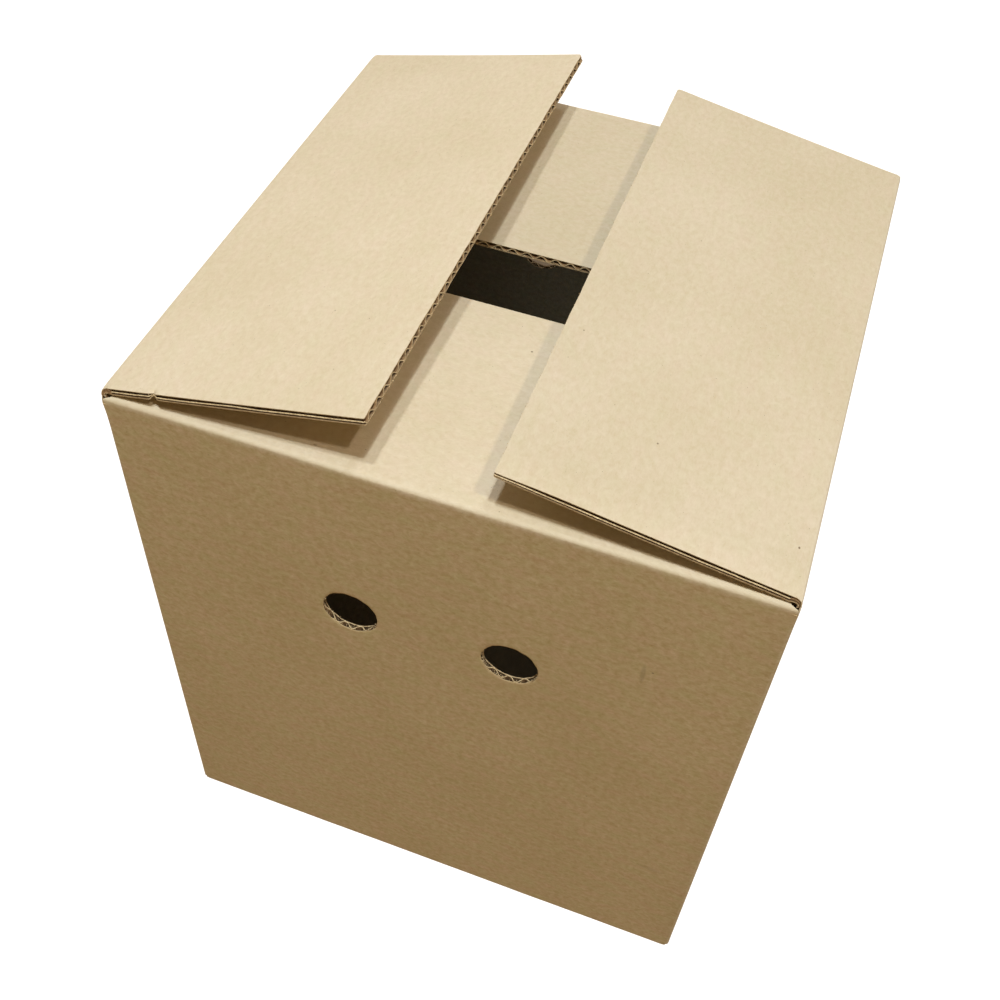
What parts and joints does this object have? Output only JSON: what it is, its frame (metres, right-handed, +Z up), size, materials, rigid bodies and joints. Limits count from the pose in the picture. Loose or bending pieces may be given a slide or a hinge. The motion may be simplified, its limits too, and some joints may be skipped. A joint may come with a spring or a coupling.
{
  "type": "egg shipping carton",
  "caption": "Corrugated kraft carton for trays of eggs, with short top flaps left ajar and round vent holes in its end panels.",
  "frame": {"origin": "on the floor under the middle of the box", "axes": "+Z up, +X from the left side panel to the right one, +Y from the near end panel with its vent holes to the far one"},
  "size_m": [0.31, 0.304, 0.386],
  "materials": {
    "kraft_board": "matt, fibrous kraft liner"
  },
  "bodies": {
    "carton": {"carton_body": "kraft_board"},
    "left_flap": {"left_outer_flap": "kraft_board"},
    "right_flap": {"right_outer_flap": "kraft_board"}
  },
  "joints": [
    {"name": "left_flap_crease", "type": "hinge", "parent": "carton", "child": "left_flap", "pos_m": [-0.155, 0, 0.3562], "axis": [0, -1, 0], "range_deg": [-13.4, 256.6]},
    {"name": "right_flap_crease", "type": "hinge", "parent": "carton", "child": "right_flap", "pos_m": [0.155, 0, 0.3562], "axis": [0, 1, 0], "range_deg": [-9.9, 260.1]}
  ]
}
